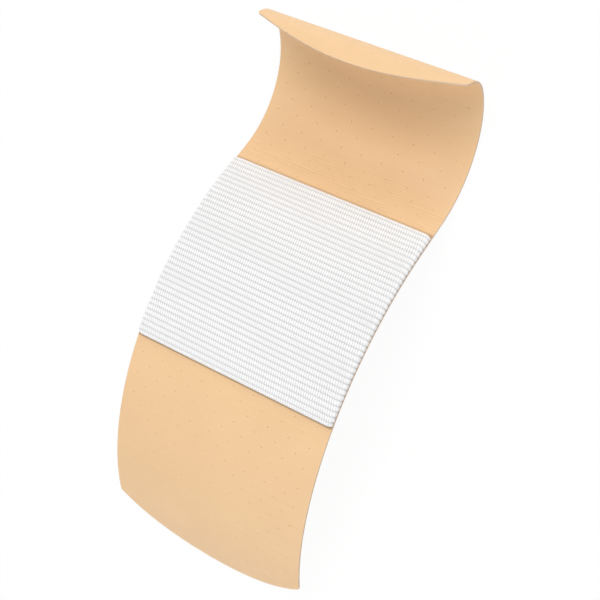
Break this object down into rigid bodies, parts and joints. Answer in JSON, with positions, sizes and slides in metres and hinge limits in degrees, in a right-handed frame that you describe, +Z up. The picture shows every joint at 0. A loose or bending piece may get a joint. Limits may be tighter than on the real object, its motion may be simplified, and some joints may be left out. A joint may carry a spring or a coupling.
{
  "type": "adhesive bandage",
  "caption": "Adhesive bandage lying pad side up: perforated plastic strip arched under a knit-faced pad bonded across it, far end curled up.",
  "frame": {"origin": "middle of the footprint, on the surface that the bandage lies on", "axes": "+X across the strip, +Y along it towards the curled end, +Z up"},
  "size_m": [0.0254, 0.0616, 0.0119],
  "materials": {
    "film": "soft matte, skin tone",
    "knit": "white ribbed knit"
  },
  "bodies": {
    "root": {"backing_strip": "film", "absorbent_pad": "knit"}
  },
  "joints": []
}
